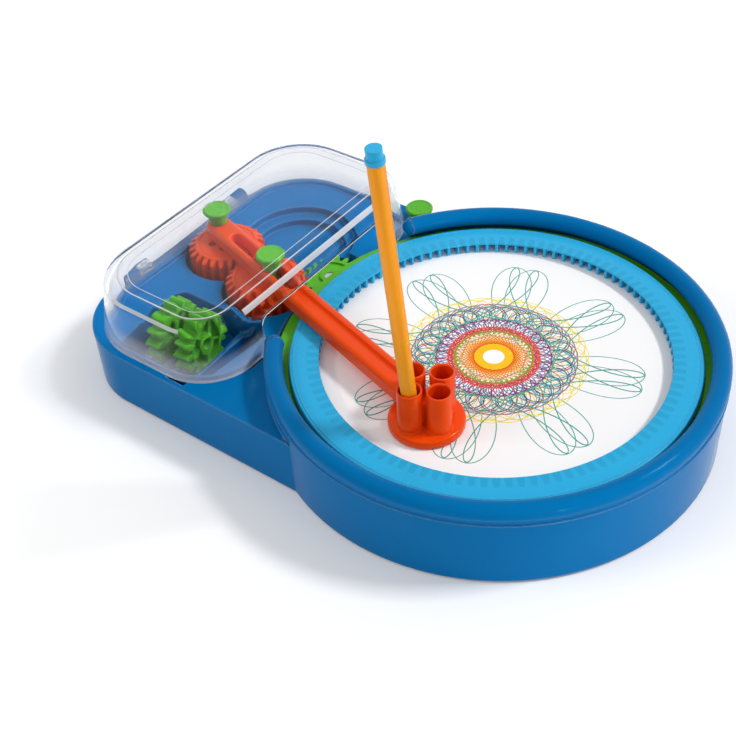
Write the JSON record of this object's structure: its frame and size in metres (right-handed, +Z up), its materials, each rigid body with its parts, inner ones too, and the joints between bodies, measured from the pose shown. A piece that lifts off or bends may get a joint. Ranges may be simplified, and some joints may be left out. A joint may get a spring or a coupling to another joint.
{
  "type": "spiral drawing machine",
  "caption": "Toy drawing machine: a round turning table in a bowl drives gears under a clear hinged lid, and pins on them lead a slotted arm that draws rosettes with a pen.",
  "frame": {"origin": "middle of the footprint, on the floor", "axes": "+X from the gear housing towards the drawing table, +Y to the far side away from the tray, +Z up"},
  "size_m": [0.2946, 0.21, 0.1791],
  "materials": {
    "blue_plastic": "semi-gloss moulded plastic",
    "sky_plastic": "semi-gloss moulded plastic",
    "green_plastic": "semi-gloss moulded plastic",
    "orange_plastic": "semi-gloss moulded plastic",
    "amber_plastic": "glossy pen barrel",
    "clear_plastic": "clear moulded plastic",
    "white_paper": "white drawing paper with a drawn rosette",
    "steel": "bright zinc",
    "black_rubber": "matt",
    "nylon": "matt white nylon",
    "dark_fibre": "matt fibre tip"
  },
  "bodies": {
    "base": {"base_shell": "blue_plastic", "base_plate": "blue_plastic", "base_screws": "steel", "rubber_pads": "black_rubber", "spindle": "steel", "spindle_screw": "steel", "thrust_washer": "nylon", "idler_axle": "steel", "front_gear_axle": "steel", "rear_gear_axle": "steel", "lid_hinge_pins": "steel"},
    "turntable": {"turntable": "green_plastic", "paper_sheet": "white_paper", "drawing_ring": "sky_plastic"},
    "idler": {"idler_gear": "green_plastic"},
    "front_gear": {"front_gear": "orange_plastic", "front_arm_pin": "green_plastic"},
    "rear_gear": {"rear_gear": "orange_plastic", "rear_arm_pin": "green_plastic"},
    "arm": {"drawing_arm": "orange_plastic"},
    "pen": {"pen_barrel": "amber_plastic", "pen_nose": "orange_plastic", "pen_tip": "dark_fibre", "pen_end_plug": "sky_plastic"},
    "lid": {"lid": "clear_plastic"},
    "spare_pin": {"spare_arm_pin": "green_plastic"},
    "spare_gear_a": {"spare_gear_a": "green_plastic"},
    "spare_gear_b": {"spare_gear_b": "green_plastic"}
  },
  "joints": [
    {"name": "turntable_spin", "type": "hinge", "parent": "base", "child": "turntable", "pos_m": [0.04233, 0, 0.03], "axis": [0, 0, 1], "continuous": true},
    {"name": "idler_spin", "type": "hinge", "parent": "base", "child": "idler", "pos_m": [-0.0621, 0.01098, 0.03], "axis": [0, 0, 1], "continuous": true},
    {"name": "front_gear_spin", "type": "hinge", "parent": "base", "child": "front_gear", "pos_m": [-0.08088, -0.01615, 0.03], "axis": [0, 0, 1], "continuous": true},
    {"name": "rear_gear_spin", "type": "hinge", "parent": "base", "child": "rear_gear", "pos_m": [-0.11533, -0.00569, 0.03], "axis": [0, 0, 1], "continuous": true},
    {"name": "arm_pivot", "type": "hinge", "parent": "rear_gear", "child": "arm", "pos_m": [-0.12168, -0.00274, 0.03], "axis": [0, 0, 1], "continuous": true},
    {"name": "pen_lift", "type": "slide", "parent": "arm", "child": "pen", "axis": [-0.025, -0.0871, 0.9959], "range_m": [0, 0.045]},
    {"name": "lid_hinge", "type": "hinge", "parent": "base", "child": "lid", "pos_m": [-0.14373, -0.0075, 0.0336], "axis": [0, -1, 0], "range_deg": [0, 100]},
    {"name": "spare_pin_lift", "type": "slide", "parent": "base", "child": "spare_pin", "axis": [0, 0, 1], "range_m": [0, 0.012]},
    {"name": "spare_gear_a_lift", "type": "slide", "parent": "base", "child": "spare_gear_a", "axis": [0, 0, 1], "range_m": [0, 0.009]},
    {"name": "spare_gear_b_lift", "type": "slide", "parent": "base", "child": "spare_gear_b", "axis": [0, 0, 1], "range_m": [0, 0.009]}
  ],
  "couplings": [
    {"joint": "idler_spin", "follows": "turntable_spin", "ratio": -6},
    {"joint": "front_gear_spin", "follows": "turntable_spin", "ratio": 5},
    {"joint": "rear_gear_spin", "follows": "turntable_spin", "ratio": -5},
    {"joint": "arm_pivot", "follows": "turntable_spin", "ratio": 5}
  ]
}
